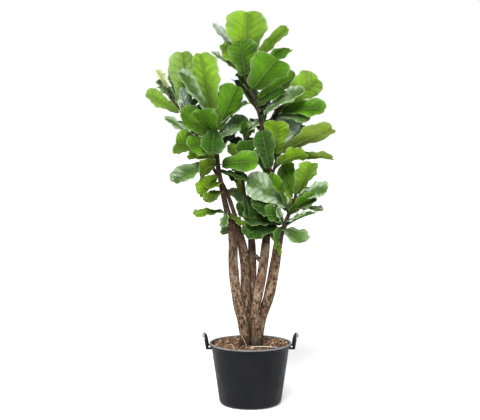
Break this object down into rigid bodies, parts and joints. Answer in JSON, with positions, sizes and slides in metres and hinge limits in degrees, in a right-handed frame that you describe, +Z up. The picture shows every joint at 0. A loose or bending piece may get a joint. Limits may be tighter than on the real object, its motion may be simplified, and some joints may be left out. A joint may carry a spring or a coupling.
{
  "type": "potted fiddle leaf fig",
  "caption": "Tall potted fig with bare woody stems leaning apart under crowns of large fiddle-shaped leaves, in a tapered nursery pot with clip-on carrying handles.",
  "frame": {"origin": "middle of the pot's flat underside", "axes": "+Z up along the plant; -Y towards the viewer in front; +X to the viewer's right, along the line of the two handles"},
  "size_m": [1.1387, 0.5061, 2.3802],
  "materials": {
    "pot_plastic": "moulded near-black plastic with a dull sheen",
    "handle_plastic": "moulded near-black plastic, smoother than the pot",
    "potting_mix": "coarse brown bark and coir, matt",
    "label_plastic": "thin blank cream plastic",
    "bark": "grey-brown fig bark with fine ring scars",
    "leaf": "leathery leaf, glossy dark green above and paler matt green below, with raised pale veins"
  },
  "bodies": {
    "root": {"pot": "pot_plastic", "handle_left": "handle_plastic", "handle_right": "handle_plastic", "soil": "potting_mix", "plant_label": "label_plastic", "straw": "bark", "trunk_left": "bark", "crown_left": "leaf", "trunk_centre_left": "bark", "crown_centre_left": "leaf", "trunk_centre": "bark", "crown_centre": "leaf", "trunk_centre_right": "bark", "crown_centre_right": "leaf", "trunk_right": "bark", "crown_right": "leaf"}
  },
  "joints": []
}
